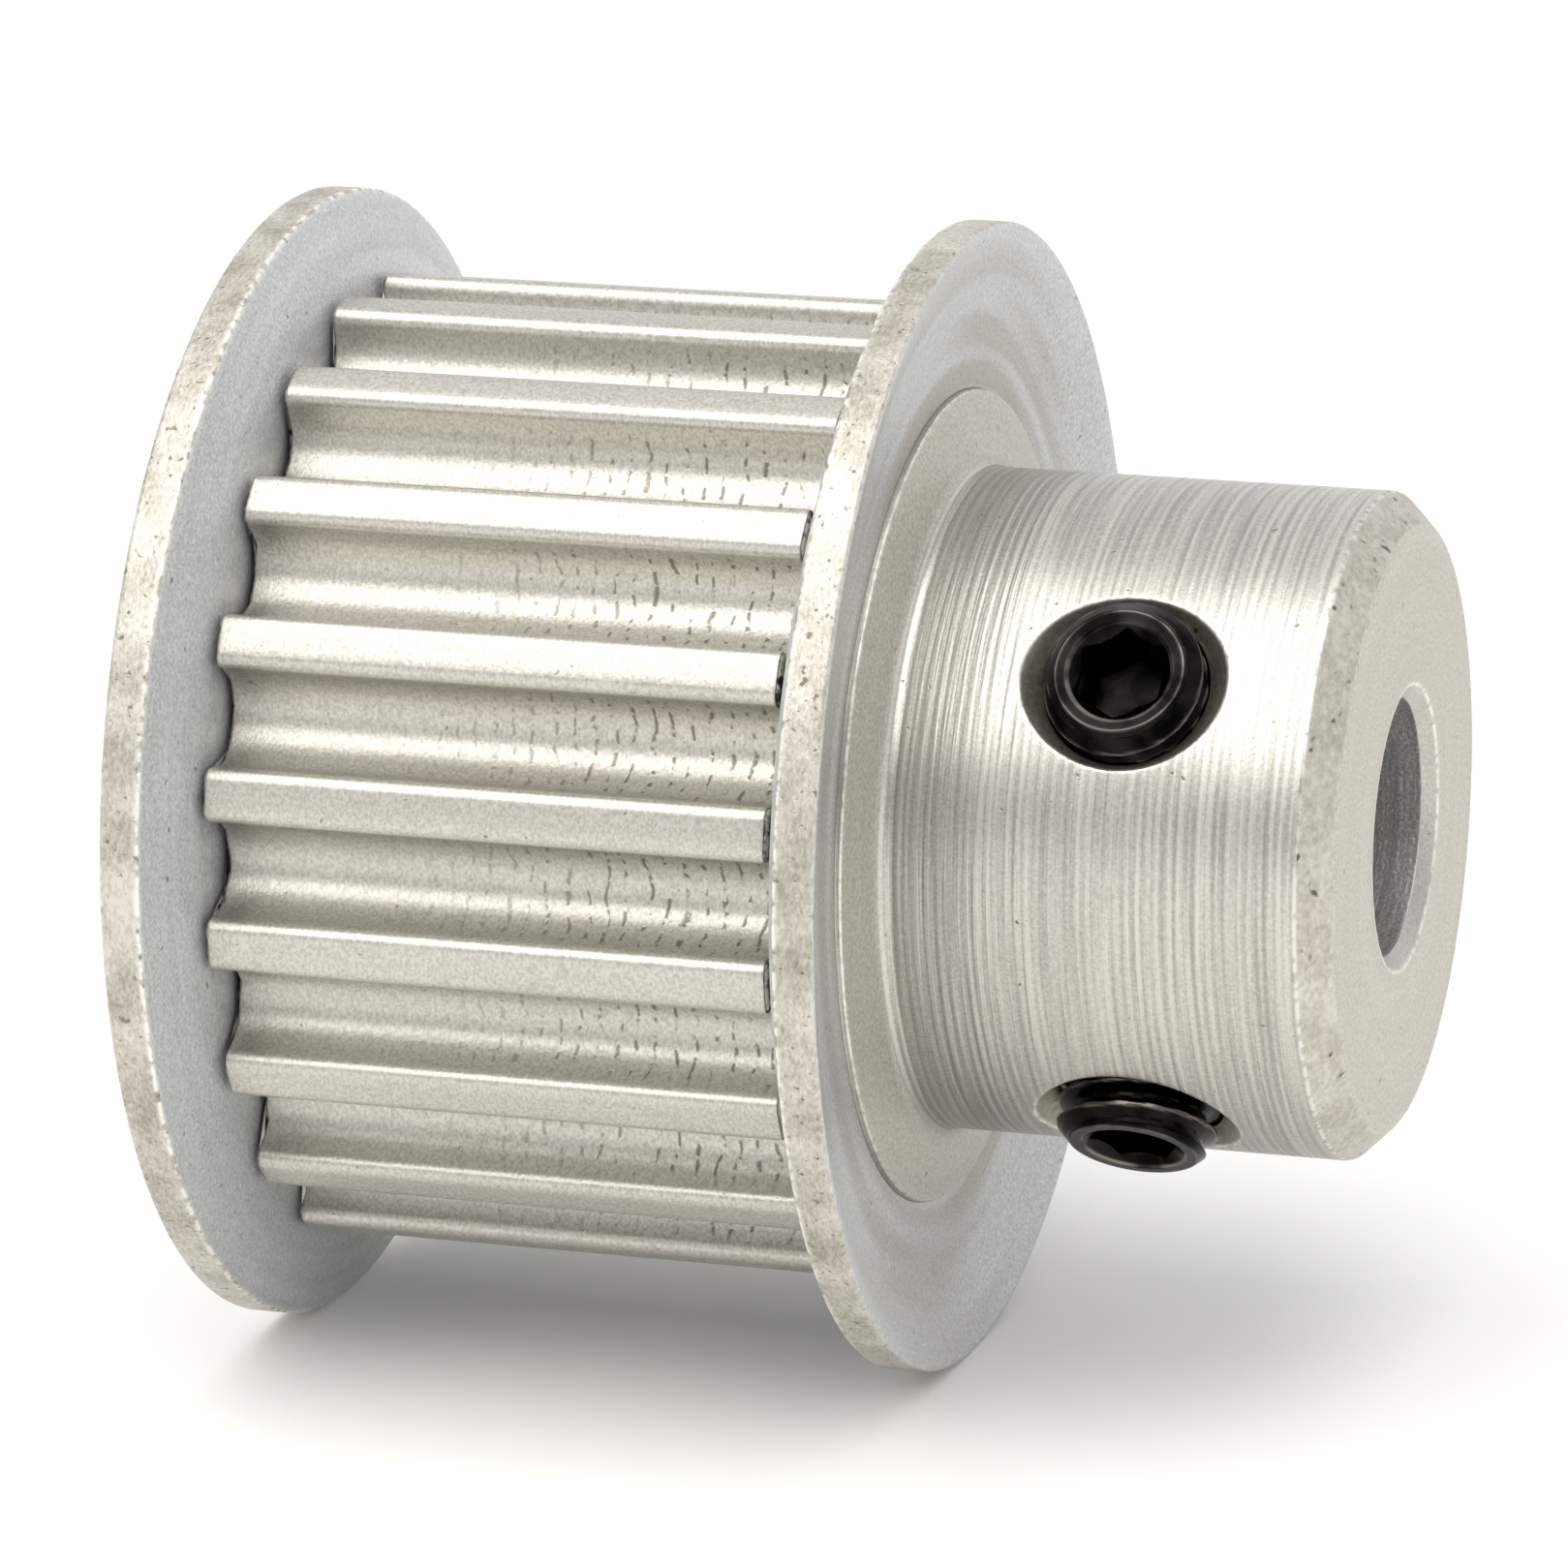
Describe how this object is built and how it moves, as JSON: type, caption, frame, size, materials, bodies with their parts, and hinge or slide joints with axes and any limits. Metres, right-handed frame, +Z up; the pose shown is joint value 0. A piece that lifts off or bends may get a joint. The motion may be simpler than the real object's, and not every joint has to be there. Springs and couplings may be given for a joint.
{
  "type": "timing belt pulley",
  "caption": "Flanged toothed pulley for a timing belt, with a round hub clamped to its shaft by socket set screws.",
  "frame": {"origin": "on the bore axis, in the middle of the belt's track between the flanges", "axes": "+X along the bore towards the hub's end, +Z up, -Y towards the side that the set screws face"},
  "size_m": [0.0361, 0.036, 0.036],
  "materials": {
    "pulley_body": "natural aluminium, turned and hobbed, fine turning marks on the hub",
    "flange": "natural aluminium sheet, matte, with a rough cut rim",
    "set_screw": "black oxide alloy steel, lightly oiled"
  },
  "bodies": {
    "pulley": {"pulley_body": "pulley_body", "rear_flange": "flange", "front_flange": "flange"},
    "upper_screw": {"upper_set_screw": "set_screw"},
    "lower_screw": {"lower_set_screw": "set_screw"}
  },
  "joints": [
    {"name": "upper_screw_travel", "type": "slide", "parent": "pulley", "child": "upper_screw", "axis": [0, -0.809, 0.5878], "range_m": [-0.00095, 0.0032]},
    {"name": "lower_screw_travel", "type": "slide", "parent": "pulley", "child": "lower_screw", "axis": [0, -0.5878, -0.809], "range_m": [-0.0012, 0.0032]}
  ]
}
